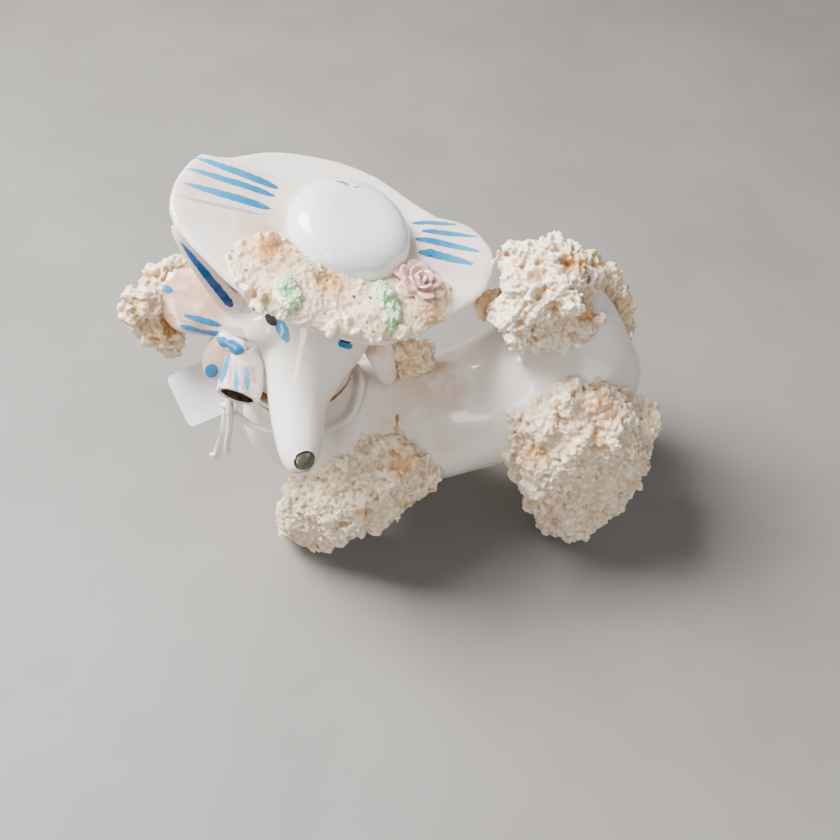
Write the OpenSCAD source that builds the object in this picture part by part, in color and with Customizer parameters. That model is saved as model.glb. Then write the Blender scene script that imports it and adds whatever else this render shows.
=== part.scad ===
// Glazed porcelain poodle in a picture hat, with rough "spaghetti" clay fur and a price tag.
// It stands on four flat soles at z = 0, nose-end of the trunk towards -X, face turned to -Y.

/* [Trunk and legs] */
// Height of the trunk's axis above the ground at the chest
chest_z = 34; // [32:0.5:36]
// Height of the trunk's axis above the ground at the rump
rump_z = 47; // [45:0.5:49]
// Radius of the trunk at the loin
loin_r = 15; // [13:0.5:16]
// Radius of a leg where it meets the ground
sole_r = 5; // [4:0.25:6]

/* [Clay fur] */
// Depth of the ruffles in the fur
ruffle = 0.09; // [0.02:0.01:0.12]

/* [Hat] */
// Thickness of the brim
brim_t = 2; // [1.6:0.1:3]
// Radius of the crown where it leaves the brim
crown_r = 13; // [10:0.1:13.5]
// Height of the crown above the brim
crown_h = 6.4; // [4:0.2:9]
// Forward tilt of the hat
hat_pitch = 12.5; // [10:0.5:15]
// Sideways tilt of the hat, lower over the dog's left ear
hat_roll = 21; // [19:0.5:23]
// How far the two side lobes curl up
lobe_rise = 1.4; // [0:0.1:2.5]
// How far the front of the brim droops
front_droop = 0.7; // [0:0.1:2]

/* [Price tag] */
// Length of the card
tag_l = 14.4; // [13:0.2:16]
// Width of the card
tag_w = 12; // [10:0.5:13]
// Thickness of the card
tag_t = 0.5; // [0.3:0.1:0.8]
// Diameter of the punched hole
tag_hole_d = 3; // [2.6:0.1:3.4]
// Diameter of the cotton string
string_d = 1.4; // [1:0.1:1.5]

/* [Hidden] */

// Moves the whole figure so that its box is centred over the origin.
home = [13.7, -0.6, 0];

// A station of a lofted form is [x, y, z, half width, half height].
trunk = [
    [-53.5, 0, chest_z + 10, 3, 3],
    [-50.5, 0, chest_z + 9.5, 8, 8],
    [-43, 0, chest_z + 7, 12.5, 12.5],
    [-30, 0, chest_z + 2, 16, 15.5],
    [-12, 0, chest_z + 1, loin_r, loin_r],
    [5, 0, chest_z + 5.5, loin_r + 0.5, loin_r + 0.5],
    [19, 0, rump_z - 1, 16.5, 17],
    [29, 0, rump_z - 2.5, 14, 14.5],
    [34, 0, rump_z - 5, 10, 10.5],
    [37.5, 0, rump_z - 7.5, 6, 6.5],
    [39, 0, rump_z - 8.5, 2.5, 3]];
throat = [
    [-38, 0, 36, 10, 11],
    [-39.5, 0, 46, 12, 12],
    [-39, 0, 56, 11, 11],
    [-37, 1, 66, 10, 10],
    [-35, 3, 74, 8, 8]];
skull = [
    [-33.2, 15, 79, 4, 4],
    [-33.6, 11.5, 78, 9.5, 9],
    [-34.2, 5, 75.5, 13, 12],
    [-35.2, -2, 70.5, 12.8, 11.5],
    [-37.6, -8.5, 66, 8.8, 9],
    [-39.5, -14.5, 62.8, 6.3, 6.8],
    [-40, -20.8, 60, 5.2, 5.4],
    [-40.2, -25.5, 58, 4.1, 4.2],
    [-40.2, -28.5, 56.8, 2.3, 2.4]];
cheek = [
    [-38, -2, 74, 8, 7],
    [-43, -4, 75, 6, 5.4],
    [-46.5, -5, 75.2, 4, 3.8],
    [-48.8, -5.6, 75.2, 1.6, 1.6]];
tail_root = [
    [27, 0, 46, 12.5, 12],
    [27, 0, 55, 10, 10],
    [25.5, 0.5, 64, 7, 7],
    [22.5, 0.5, 70.5, 4.5, 4.5],
    [17, -1, 74, 3.5, 3.5]];

// Each leg runs from its sole up into the trunk.
front_left = [
    [-42.5, -6, 0, sole_r, sole_r],
    [-42.5, -6, 4, sole_r + 0.4, sole_r + 0.4],
    [-36.5, -9, 14, 5.6, 5.6],
    [-28, -9.5, 26, 7.5, 7],
    [-22, -6, 34, 6, 6]];
front_right = [for (s = front_left) [s[0] + 5, 3 - s[1], s[2], s[3], s[4]]];
rear_left = [
    [25, -11.5, 0, sole_r, sole_r],
    [25, -11.5, 4, sole_r + 0.4, sole_r + 0.4],
    [25, -12, 14, 5.6, 5.6],
    [24, -10, 28, 8.5, 8.5],
    [24, -5, 42, 8, 8]];
rear_right = [for (s = rear_left) [s[0] + 5, 1 - s[1], s[2], s[3], s[4]]];

// Clay fur round the legs, on the tail, on the rump and on the far side of the back.
front_left_fur = [
    [-42.8, -5.7, 1, 5.5, 5],
    [-42, -7.2, 6.5, 8, 6.5],
    [-37.4, -10.5, 18, 11.4, 9.5],
    [-30.5, -12.5, 28, 13.5, 10.5],
    [-22.5, -13, 34, 11.5, 9.5],
    [-14.5, -12.3, 36.5, 8.5, 7],
    [-12, -11.5, 38.5, 3.2, 3]];
front_right_fur = [for (s = front_left_fur) [s[0] + 5, 3 - s[1], s[2], s[3], s[4]]];
rear_left_fur = [
    [25, -11.3, 1, 6.6, 5.8],
    [24.5, -12.2, 6, 7.8, 6.8],
    [24.3, -14, 16, 9.6, 9.3],
    [24.2, -15, 29, 14.3, 11],
    [22.5, -15, 42, 18.5, 10.5],
    [23, -13.5, 52, 13, 8],
    [24, -12, 57, 4, 4]];
rear_right_fur = [for (s = rear_left_fur) [s[0] + 5, 1 - s[1], s[2], s[3] * 0.82, s[4]]];
pompom = [
    [13.5, -2, 63, 3, 3],
    [13.5, -2, 66, 7.5, 7.5],
    [13.5, -2, 72, 10.2, 10],
    [14, -2, 78, 9.8, 9.5],
    [14.5, -2, 83, 7.2, 7.2],
    [14.5, -2, 86, 3, 3]];
rump_strip = [
    [18, 3, 78.5, 2.5, 2.5],
    [23, 5, 75, 4.2, 4.2],
    [28.5, 6, 69.5, 4.2, 4.2],
    [33.5, 6, 62.5, 3.9, 3.9],
    [36.3, 6, 56, 3.2, 3.2],
    [37.2, 6, 52, 1.5, 1.5]];
tuft = [
    [3, 8, 64, 1.8, 1.8],
    [5.5, 8, 62.5, 3.5, 3.5],
    [9, 7, 61.5, 4.5, 4],
    [12, 6, 61, 2.5, 2.5]];

// Ears, bow and ribbon are flat, and face up and to the dog's left.
facing = [0, -0.7, 0.7];
right_flap = [
    [-42.5, -2.2, 76.2, 6.6, 2.8],
    [-48, -0.8, 77.8, 7.2, 2.6],
    [-55.5, 0.5, 79.6, 7.7, 2.2],
    [-61.5, 0.8, 80.3, 6.6, 1.9],
    [-64.4, 1, 80.2, 3.4, 1.2]];
left_flap = [
    [-26, 3, 75, 4, 2],
    [-23.5, 2, 68, 4, 2],
    [-21, 0, 60, 3.2, 1.8],
    [-19.6, -1, 53, 2.2, 1.4],
    [-19.3, -1.2, 51, 1.2, 0.8]];
right_ear_clump = [
    [-57, 5.4, 84.4, 1.4, 1.4],
    [-60.8, 5, 83.8, 2.7, 2.7],
    [-65.8, 2.8, 80.4, 3.9, 3.9],
    [-68.2, 1.6, 76, 4.2, 4.2],
    [-65.8, 0, 71.4, 3.9, 3.9],
    [-62.8, -1, 68, 2.2, 2.2]];
left_ear_clump = [
    [-19.5, 3, 56, 2, 2],
    [-16, 3, 55, 3.8, 3.8],
    [-11.5, 3, 54, 3.4, 3.4],
    [-9, 3, 53.5, 1.5, 1.5]];
hat_tie_strip = [
    [-57.4, 1.6, 94.8, 0.5, 0.5],
    [-56.3, 0.4, 92.8, 1.3, 0.8],
    [-54.4, -1, 89.3, 2, 1],
    [-52.3, -2, 85, 2.3, 1.1],
    [-50.3, -2.6, 81, 2.5, 1.3],
    [-49.3, -2.6, 79, 1.7, 1.3]];
knot_lobes = [
    [-54, -6, 75, 0.8, 0.8],
    [-52.9, -6.4, 74.8, 1.6, 1.5],
    [-51.3, -7.2, 74, 1.6, 1.6],
    [-49.7, -8, 73.2, 1.8, 1.6],
    [-48.7, -8.4, 72.7, 0.9, 0.9]];
loop_skin = [
    [-49.4, -7.6, 72.6, 2.2, 1.6],
    [-49.6, -8.8, 70, 3.9, 2.5],
    [-50.2, -10.3, 67.6, 4.4, 2.9],
    [-51, -12, 65.9, 4.5, 3],
    [-51.7, -13.3, 65, 4.3, 2.9]];
loop_wall = 1.1;
tail_band = [
    [-52.2, -5.4, 74, 2.2, 1],
    [-54.3, -5.8, 71, 2.9, 1],
    [-56, -6.6, 67.5, 2.5, 1],
    [-56.8, -7.2, 64.6, 1.4, 0.9]];

// Ribbon round the throat.
ribbon_at = [-39.2, 0, 57.6];
ribbon_lean = -8;
ribbon_r = 10;
ribbon_w = 4;
ribbon_t = 2;

// Hat: the middle of the brim's upper side, and the brim's outline seen along the hat's axis.
hat_at = [-27.9, 7, 86];
brim_edge = [
    [35.5, 0], [35, 4], [31.5, 8.5], [24.5, 10.5], [18, 15], [11.5, 20.5], [3, 23.5], [-6, 23.5],
    [-13, 22], [-18, 19.5], [-22, 17.5], [-27.5, 16], [-31.5, 10], [-33.5, 3.5], [-32.5, -3],
    [-26, -10.8], [-20, -16.4], [-10, -21], [0, -23], [8, -23.4], [18, -18.2], [26, -13.2],
    [32.5, -7.5]];
bed = [
    [-22.5, -8.6, 0.5, 3, 0.9],
    [-18, -9.6, 0.7, 7.4, 1.3],
    [-12, -11.4, 0.8, 9, 1.6],
    [-6, -14, 0.8, 8.6, 1.8],
    [1, -15.6, 0.8, 7.8, 1.9],
    [9, -15, 0.8, 8, 1.9],
    [16, -12.2, 0.8, 7, 1.7],
    [21, -10.6, 0.6, 4.8, 1.3],
    [24, -10, 0.5, 2, 0.9]];
crown_at = [2.5, 2, 0];
crown_sink = 0.6;
// Roundness of the crown's side and of its top: smaller is squarer.
crown_side = 0.45;
crown_top = 0.8;
leaf = [
    [0, -5, 0, 0.8, 0.6],
    [0.3, -3, 0.6, 2, 1.1],
    [0, 0, 1, 2.6, 1.4],
    [-0.4, 3, 0.8, 1.9, 1.1],
    [-0.6, 5, 0.4, 0.8, 0.6]];
leaf_right_at = [-12.5, -16.6, 1.5];
leaf_left_at = [8, -16, 1.9];
rose_at = [15, -10.5, 2.6];
rose_heart_r = 2.2;
petals = 7;
petal = [
    [1, 0, 0, 1, 0.5],
    [2.4, 0, 0.3, 1.7, 0.6],
    [3.8, 0, 1.1, 1.6, 0.5],
    [4.6, 0, 2, 0.6, 0.35]];

// The tag hangs from its hole and is propped up sideways on its string.
tag_at = [-54.4, -3.85, 59.75];
tag_tilt = 45;
tag_turn = 18;
tag_margin = 2.8;
tag_corner = 3;

// Route of the string: one end, the knot, round the neck, through the tag, the knot, the other end.
string_route = [
    [-60, -10, 42.5], [-58.3, -10, 47], [-56.6, -9.8, 52], [-55, -9.4, 57],
    [-52.6, -10.4, 55], [-50, -11.6, 53], [-45.5, -13.2, 52], [-39.5, -14, 51.6],
    [-33.5, -12.9, 51], [-28.6, -9.4, 50.6], [-25.8, -3, 52.2], [-26.2, 4, 52],
    [-30, 9.6, 50.3], [-37, 12.7, 50], [-45.2, 11.2, 52.6], [-51.2, 6.6, 55], [-54, 1, 56.2],
    [-54.4, -3.85, 59.75], [-54.5, -7.6, 62], [-54.3, -10.8, 59.4],
    [-54.8, -11.6, 54.5], [-56, -11.6, 50], [-57, -11, 45.4]];
knot_at = [-54.4, -10, 58.2];
knot_r = 1.9;
end_knot_at = [-60, -10, 42.3];
end_knot_r = 1.2;
fray_at = [-57, -11, 45];
fray_r = 1.1;

// Catmull-Rom curve between b and c.
function between(a, b, c, d, t) =
    (2 * b + (c - a) * t + (2 * a - 5 * b + 4 * c - d) * t * t
        + (3 * b - a - 3 * c + d) * t * t * t) / 2;
function pick(list, i) = list[min(max(i, 0), len(list) - 1)];
function wrap(list, i) = list[(i + len(list)) % len(list)];
function smooth(list, steps) = [
    for (i = [0 : len(list) - 2], k = [0 : steps - 1])
        between(pick(list, i - 1), list[i], list[i + 1], pick(list, i + 2), k / steps),
    list[len(list) - 1]];
function smooth_loop(list, steps) = [
    for (i = [0 : len(list) - 1], k = [0 : steps - 1])
        between(wrap(list, i - 1), list[i], wrap(list, i + 1), wrap(list, i + 2), k / steps)];
function unit(v) = v / norm(v);
function place(s) = [s[0], s[1], s[2]];

// Ruffles of the clay fur: a factor near 1 that changes round and along a form.
function ruffled(a, along, depth, seed) =
    1 + depth * (sin(5 * a + 71 * along + seed) + sin(3 * a - 113 * along + 2 * seed)
        + 0.8 * sin(8 * a + 157 * along - seed));

function ring(s, ahead, up, sides, along, depth, seed) =
    let (across = unit(cross(up, ahead)), top = cross(ahead, across))
    [for (k = [0 : sides - 1])
        let (a = 360 * k / sides, r = ruffled(a, along, depth, seed))
        place(s) + r * (across * s[3] * cos(a) + top * s[4] * sin(a))];

// Closed solid through rings of points.
module skin(rings) {
    n = len(rings[0]);
    last = len(rings) - 1;
    middle = function(r) [for (c = [0 : 2]) [for (p = r) p[c]] * [for (p = r) 1 / n]];
    points = [for (r = rings) each r, middle(rings[0]), middle(rings[last])];
    sides = [for (i = [0 : last - 1], k = [0 : n - 1])
        let (a = i * n + k, b = i * n + (k + 1) % n)
        each [[a, b + n, b], [a, a + n, b + n]]];
    ends = [for (k = [0 : n - 1]) each [
        [k, (k + 1) % n, (last + 1) * n],
        [last * n + (k + 1) % n, last * n + k, (last + 1) * n + 1]]];
    polyhedron(points, concat(sides, ends));
}

// Loft along stations; level keeps the rings of the first stretch flat, as on the ground.
module loft(stations, sides = 28, steps = 4, up = [0, 1, 0], depth = 0, seed = 0, level = false) {
    path = smooth(stations, steps);
    rings = [for (i = [0 : len(path) - 1])
        let (ahead = level && i <= steps ? [0, 0, 1]
            : unit(place(pick(path, i + 1)) - place(pick(path, i - 1))))
        ring(path[i], ahead, up, sides, i / steps, depth, seed)];
    skin(rings);
}

// The modules that several pieces share.
module leg(stations) { loft(stations, sides = 16, steps = 3, level = true); }
module fur(stations, seed, sides = 20, level = false) {
    loft(stations, sides, 3, depth = ruffle, seed = seed, level = level);
}
module cuff(stations, seed) { fur(stations, seed, level = true); }
module flat_form(stations) { loft(stations, 14, 3, up = facing); }

// Places a form that is drawn round the hat's own axis.
module on_hat() {
    translate(home + hat_at) rotate([hat_pitch, 0, 0]) rotate([0, hat_roll, 0]) children();
}

module torso() { color("whitesmoke") translate(home) loft(trunk, sides = 36, up = [0, 0, 1]); }
module neck() { color("whitesmoke") translate(home) loft(throat); }
module head() {
    color("snow") translate(home) {
        loft(skull, up = [0, 0, 1]);
        loft(cheek, 20, up = [0, 0, 1]);
    }
}
module tail() { color("whitesmoke") translate(home) loft(tail_root, sides = 20); }

module front_left_leg() { color("whitesmoke") translate(home) leg(front_left); }
module front_right_leg() { color("whitesmoke") translate(home) leg(front_right); }
module rear_left_leg() { color("whitesmoke") translate(home) leg(rear_left); }
module rear_right_leg() { color("whitesmoke") translate(home) leg(rear_right); }

module front_left_cuff() { color("antiquewhite") translate(home) cuff(front_left_fur, 10); }
module front_right_cuff() { color("antiquewhite") translate(home) cuff(front_right_fur, 40); }
module rear_left_cuff() { color("antiquewhite") translate(home) cuff(rear_left_fur, 70); }
module rear_right_cuff() { color("antiquewhite") translate(home) cuff(rear_right_fur, 120); }
module tail_pompom() { color("antiquewhite") translate(home) fur(pompom, 200); }
module rump_fur() { color("antiquewhite") translate(home) fur(rump_strip, 260, 14); }
module side_tuft() { color("antiquewhite") translate(home) fur(tuft, 310, 12); }

// Height of the brim at a point of its plan, t of the way from the crown to the edge.
function brim_height(p, t) =
    let (side = abs(unit(p)[0]))
    t * t * (lobe_rise * side * side - front_droop * (1 - side * side));
function brim_ring(t, drop) = [for (p = smooth_loop(brim_edge, 2))
    let (q = p * t) [q[0], q[1], brim_height(p, t) - drop]];
module hat_brim() {
    reach = [0.2, 0.45, 0.65, 0.82, 0.94];
    color("linen") on_hat() skin(concat(
        [for (t = reach) brim_ring(t, brim_t)],
        [brim_ring(0.99, brim_t * 0.85), brim_ring(1, brim_t * 0.5), brim_ring(0.99, brim_t * 0.15)],
        [for (i = [len(reach) - 1 : -1 : 0]) brim_ring(reach[i], 0)]));
}
module hat_crown() {
    color("aliceblue") on_hat() translate(crown_at) rotate_extrude($fn = 64) polygon(concat(
        [[0, -crown_sink], [crown_r, -crown_sink]],
        [for (a = [0 : 10 : 80]) [crown_r * pow(cos(a), crown_side), crown_h * pow(sin(a), crown_top)]],
        [[0, crown_h]]));
}
module hat_tie() { color("lightsteelblue") translate(home) flat_form(hat_tie_strip); }
module flower_bed() {
    color("antiquewhite") on_hat() loft(bed, 20, up = [0, 0, 1], depth = ruffle * 0.6, seed = 30);
}
module leaf_spray(p, seed) {
    on_hat() translate(p) loft(leaf, 12, 3, up = [0, 0, 1], depth = ruffle, seed = seed);
}
module leaf_spray_right() { color("darkseagreen") leaf_spray(leaf_right_at, 20); }
module leaf_spray_left() { color("darkseagreen") leaf_spray(leaf_left_at, 50); }
module rose() {
    color("rosybrown") on_hat() translate(rose_at) {
        sphere(r = rose_heart_r, $fn = 24);
        for (k = [0 : petals - 1])
            rotate([0, 0, 360 * k / petals])
                loft(petal, 8, 2, up = [0, 0, 1]);
    }
}

module right_ear() { color("mistyrose") translate(home) flat_form(right_flap); }
module left_ear() { color("snow") translate(home) flat_form(left_flap); }
module right_ear_fur() { color("antiquewhite") translate(home) fur(right_ear_clump, 90, 14); }
module left_ear_fur() { color("antiquewhite") translate(home) fur(left_ear_clump, 150, 12); }

module neck_ribbon() {
    color("tan") translate(home + ribbon_at) rotate([0, ribbon_lean, 0]) rotate_extrude($fn = 64)
        translate([ribbon_r, -ribbon_w / 2]) square([ribbon_t, ribbon_w]);
}
module bow_knot() { color("skyblue") translate(home) flat_form(knot_lobes); }
module bow_loop() {
    color("mistyrose") translate(home) difference() {
        loft(loop_skin, 18, 3, up = facing);
        loft([for (s = loop_skin) s + [0, 0, -loop_wall, -loop_wall, -loop_wall]],
            14, 3, up = facing);
    }
}
module ribbon_tail() { color("mistyrose") translate(home) flat_form(tail_band); }

module price_tag() {
    near = tag_margin;
    far = tag_margin - tag_l;
    half = tag_w / 2;
    cut = near - tag_corner;
    color("ghostwhite") translate(home + tag_at) rotate([tag_tilt, 0, 0]) rotate([0, 0, tag_turn])
        translate([0, 0, -tag_t / 2]) linear_extrude(tag_t) difference() {
            polygon([[near, tag_corner - half], [near, half - tag_corner], [cut, half],
                [far, half], [far, -half], [cut, -half]]);
            circle(d = tag_hole_d, $fn = 32);
        }
}
module tag_string() {
    color("white") translate(home)
        loft([for (p = string_route) [p[0], p[1], p[2], string_d / 2, string_d / 2]],
            8, 3, up = [0.1, 0.3, 1]);
}
module cotton_lump(p, r) {
    translate(home)
        loft([for (a = [-80 : 32 : 80]) [p[0], p[1], p[2] + r * sin(a), r * cos(a), r * cos(a)]],
            10, 2, depth = 0.03);
}
module string_knot() { color("white") cotton_lump(knot_at, knot_r); }
module string_end_knot() { color("white") cotton_lump(end_knot_at, end_knot_r); }
module string_frayed_end() { color("white") cotton_lump(fray_at, fray_r); }

torso();
neck();
head();
tail();
front_left_leg();
front_right_leg();
rear_left_leg();
rear_right_leg();
front_left_cuff();
front_right_cuff();
rear_left_cuff();
rear_right_cuff();
tail_pompom();
rump_fur();
side_tuft();
hat_brim();
hat_crown();
hat_tie();
flower_bed();
leaf_spray_right();
leaf_spray_left();
rose();
right_ear();
left_ear();
right_ear_fur();
left_ear_fur();
neck_ribbon();
bow_knot();
bow_loop();
ribbon_tail();
price_tag();
tag_string();
string_knot();
string_end_knot();
string_frayed_end();
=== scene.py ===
import math

import bmesh
import bpy
import numpy as np
from mathutils import Matrix, Vector, noise


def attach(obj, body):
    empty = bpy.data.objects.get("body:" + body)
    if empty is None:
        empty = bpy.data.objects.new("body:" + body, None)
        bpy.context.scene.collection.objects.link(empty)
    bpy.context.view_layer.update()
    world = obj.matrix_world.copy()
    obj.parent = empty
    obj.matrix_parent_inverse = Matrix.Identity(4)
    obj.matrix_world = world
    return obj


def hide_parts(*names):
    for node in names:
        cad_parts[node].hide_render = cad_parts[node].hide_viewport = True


# A glazed porcelain poodle in a picture hat, with crumbly clay fur and a price card on a cotton string.
# Sizes below are in millimetres in the figure's own layout; at() turns them into the frame's metres.
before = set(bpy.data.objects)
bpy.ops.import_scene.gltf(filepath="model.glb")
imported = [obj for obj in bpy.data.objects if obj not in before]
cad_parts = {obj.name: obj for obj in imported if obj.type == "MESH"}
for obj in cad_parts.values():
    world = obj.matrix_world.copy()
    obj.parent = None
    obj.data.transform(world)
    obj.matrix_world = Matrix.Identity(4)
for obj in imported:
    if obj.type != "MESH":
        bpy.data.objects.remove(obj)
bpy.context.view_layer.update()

MM = 0.001
HOME = Vector((13.7, -0.6, 0.0))
HAT_AT = (-27.9, 7.0, 86.0)
HAT_PITCH = 12.5
HAT_ROLL = 21.0
OUTWARD = np.array((0.0, -0.7071, 0.7071))


def at(x, y, z):
    """A place in the figure's layout, in metres."""
    return (Vector((x, y, z)) + HOME) * MM


HAT = (
    Matrix.Translation(at(*HAT_AT))
    @ Matrix.Rotation(math.radians(HAT_PITCH), 4, "X")
    @ Matrix.Rotation(math.radians(HAT_ROLL), 4, "Y")
)
HAT_UP = np.array(HAT.to_3x3() @ Vector((0, 0, 1)))


def on_hat(u, v, height=0.0):
    """A place on the brim, measured along the hat's own axes."""
    return HAT @ (Vector((u, v, height)) * MM)


# ===== Camera =====
VIEW_TARGET = (-12.0, 0.0, 35.0)
VIEW_TURN = -8.0
VIEW_TILT = 50.0
VIEW_DISTANCE = 215.0
LENS = 37.7


def place_camera():
    turn = math.radians(VIEW_TURN)
    tilt = math.radians(VIEW_TILT)
    away = Vector((
        math.sin(turn) * math.cos(tilt),
        -math.cos(turn) * math.cos(tilt),
        math.sin(tilt),
    ))
    data = bpy.data.cameras.new("camera")
    data.lens = LENS
    data.sensor_width = 36.0
    data.clip_start = 0.005
    camera = bpy.data.objects.new("camera", data)
    bpy.context.scene.collection.objects.link(camera)
    target = at(*VIEW_TARGET)
    camera.location = target + away * VIEW_DISTANCE * MM
    camera.rotation_euler = (-away).to_track_quat("-Z", "Y").to_euler()
    bpy.context.scene.camera = camera


place_camera()


# ===== Mesh helpers =====
def new_piece(name, vertices, faces, body="figurine"):
    mesh = bpy.data.meshes.new(name)
    mesh.from_pydata([tuple(v) for v in vertices], [], [tuple(f) for f in faces])
    mesh.update()
    piece = bpy.data.objects.new(name, mesh)
    bpy.context.scene.collection.objects.link(piece)
    mesh.polygons.foreach_set("use_smooth", [True] * len(mesh.polygons))
    if body:
        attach(piece, body)
    return piece


def bake(piece):
    """Replaces a piece's mesh with the result of its modifiers."""
    depsgraph = bpy.context.evaluated_depsgraph_get()
    baked = bpy.data.meshes.new_from_object(piece.evaluated_get(depsgraph))
    old = piece.data
    piece.modifiers.clear()
    piece.data = baked
    bpy.data.meshes.remove(old)


def fuse(piece, voxel, rounds):
    """Fuses overlapping closed forms into one skin and softens it, as thick glaze does."""
    remesh = piece.modifiers.new("fuse", "REMESH")
    remesh.mode = "VOXEL"
    remesh.voxel_size = voxel * MM
    if rounds:
        soften = piece.modifiers.new("soften", "SMOOTH")
        soften.factor = 0.5
        soften.iterations = rounds
    bake(piece)
    piece.data.polygons.foreach_set("use_smooth", [True] * len(piece.data.polygons))


def places(piece):
    co = np.zeros(len(piece.data.vertices) * 3)
    piece.data.vertices.foreach_get("co", co)
    return co.reshape(-1, 3)


def normals(piece):
    directions = np.zeros(len(piece.data.vertices) * 3)
    piece.data.vertex_normals.foreach_get("vector", directions)
    return directions.reshape(-1, 3)


def set_places(piece, co):
    piece.data.vertices.foreach_set("co", co.ravel())
    piece.data.update()


def store(piece, name, values):
    attribute = piece.data.attributes.new(name, "FLOAT", "POINT")
    attribute.data.foreach_set("value", np.asarray(values, dtype=np.float32))


def cad_mesh(nodes):
    """Vertices and faces of several CAD nodes together."""
    vertices = []
    faces = []
    for name in nodes:
        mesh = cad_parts[name].data
        start = len(vertices)
        vertices += [v.co.copy() for v in mesh.vertices]
        faces += [tuple(start + i for i in p.vertices) for p in mesh.polygons]
    return vertices, faces


def welded(piece):
    """Joins vertices that lie on one another, so that the mesh is closed."""
    work = bmesh.new()
    work.from_mesh(piece.data)
    bmesh.ops.remove_doubles(work, verts=work.verts, dist=0.002 * MM)
    work.to_mesh(piece.data)
    work.free()


def glazed_skin(name, nodes, voxel, rounds):
    """A smooth skin over one or more CAD pieces, which it stands for."""
    vertices, faces = cad_mesh(nodes)
    piece = new_piece(name, vertices, faces)
    welded(piece)
    fuse(piece, voxel, rounds)
    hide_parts(*nodes)
    return piece


def ripple(piece, scale, depth, seed):
    """Moves the surface in and out by soft noise; its scale and depth are in millimetres."""
    co = places(piece)
    out = normals(piece)
    shift = np.array([noise.noise(Vector(p) / (scale * MM) + Vector((seed, 0, 0))) for p in co])
    set_places(piece, co + out * (shift * depth * MM)[:, None])


def step_up(values, edge, width):
    """0 below an edge and 1 above it, with a soft step between."""
    t = np.clip((values - edge) / width + 0.5, 0, 1)
    return t * t * (3 - 2 * t)


def neighbour_mean(values, edges, count):
    """Mean of each vertex's neighbours."""
    total = np.zeros_like(values)
    for axis in range(values.shape[1]):
        total[:, axis] += np.bincount(edges[:, 0], values[edges[:, 1], axis], len(values))
        total[:, axis] += np.bincount(edges[:, 1], values[edges[:, 0], axis], len(values))
    return total / count[:, None]


def store_relief(piece, rounds=24):
    """Stores how far each vertex stands out of, or sinks below, the form around it, in millimetres."""
    co = places(piece)
    edges = np.zeros(len(piece.data.edges) * 2, dtype=np.int32)
    piece.data.edges.foreach_get("vertices", edges)
    edges = edges.reshape(-1, 2)
    count = np.maximum(np.bincount(edges.ravel(), minlength=len(co)), 1)
    soft = co.copy()
    for _ in range(rounds):
        soft = neighbour_mean(soft, edges, count)
    relief = np.einsum("ij,ij->i", co - soft, normals(piece)) / MM
    store(piece, "relief", relief)


# ===== Cotton string =====
STRING_D = 1.4
LAY = 1.25 / MM  # radians that the strands turn along each metre
STRING_ROUTE = [
    (-60, -10, 42.5), (-58.3, -10, 47), (-56.6, -9.8, 52), (-55, -9.4, 57),
    (-52.6, -10.4, 55), (-50, -11.6, 53), (-45.5, -13.2, 52), (-39.5, -14, 51.6),
    (-33.5, -12.9, 51), (-28.6, -9.4, 50.6), (-25.8, -3, 52.2), (-26.2, 4, 52),
    (-30, 9.6, 50.3), (-37, 12.7, 50), (-45.2, 11.2, 52.6), (-51.2, 6.6, 55), (-54, 1, 56.2),
    (-54.4, -3.85, 59.75), (-54.5, -7.6, 62), (-54.3, -10.8, 59.4),
    (-54.8, -11.6, 54.5), (-56, -11.6, 50), (-57, -11, 45.4),
]
KNOT_AT = (-54.4, -10, 58.2)
END_KNOT_AT = (-60, -10, 42.3)
FRAY_AT = (-57, -11, 45.4)


def between(a, b, c, d, t):
    """Catmull-Rom curve between b and c."""
    return (2 * b + (c - a) * t + (2 * a - 5 * b + 4 * c - d) * t ** 2
            + (3 * b - a - 3 * c + d) * t ** 3) / 2


def smooth_line(points, steps):
    """A smooth line through points, with a number of steps between each two."""
    ends = [points[0]] + points + [points[-1]]
    line = [
        between(*ends[i:i + 4], k / steps)
        for i in range(len(points) - 1)
        for k in range(steps)
    ]
    return line + [points[-1]]


def tube(line, radius, sides=18, lobes=0, lobe_depth=0.0, turns=0.0, closed=False):
    """Vertices and faces of a tube along a line; lobes that turn along it make it a laid string."""
    count = len(line)
    vertices = []
    side = Vector((0, 0, 1))
    travelled = 0.0
    for i, p in enumerate(line):
        before = line[i - 1] if closed else line[max(i - 1, 0)]
        after = line[(i + 1) % count] if closed else line[min(i + 1, count - 1)]
        ahead = (after - before).normalized()
        side = (side - ahead * side.dot(ahead)).normalized()
        other = ahead.cross(side)
        travelled += (p - line[i - 1]).length if i else 0.0
        for k in range(sides):
            angle = 2 * math.pi * k / sides
            lobe = 1 + lobe_depth * math.cos(lobes * (angle - turns * travelled))
            vertices.append(p + (side * math.cos(angle) + other * math.sin(angle)) * radius * lobe)
    faces = []
    for i in range(count if closed else count - 1):
        for k in range(sides):
            a = i * sides + k
            b = i * sides + (k + 1) % sides
            faces.append((a, b, ((i + 1) % count) * sides + (k + 1) % sides, ((i + 1) % count) * sides + k))
    if not closed:
        faces.append(tuple(reversed(range(sides))))
        faces.append(tuple((count - 1) * sides + k for k in range(sides)))
    return vertices, faces


def laid(line, radius):
    """A tube with the three turning strands of a cotton string."""
    return tube(line, radius * MM, 21, lobes=3, lobe_depth=0.09, turns=LAY)


def trefoil(middle, size):
    """A closed overhand knot round a place."""
    steps = 72
    line = []
    for i in range(steps):
        t = 2 * math.pi * i / steps
        line.append(at(*middle) + Vector((
            math.sin(t) + 2 * math.sin(2 * t),
            -math.sin(3 * t) * 1.1,
            math.cos(t) - 2 * math.cos(2 * t),
        )) * size * MM)
    return line


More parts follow.
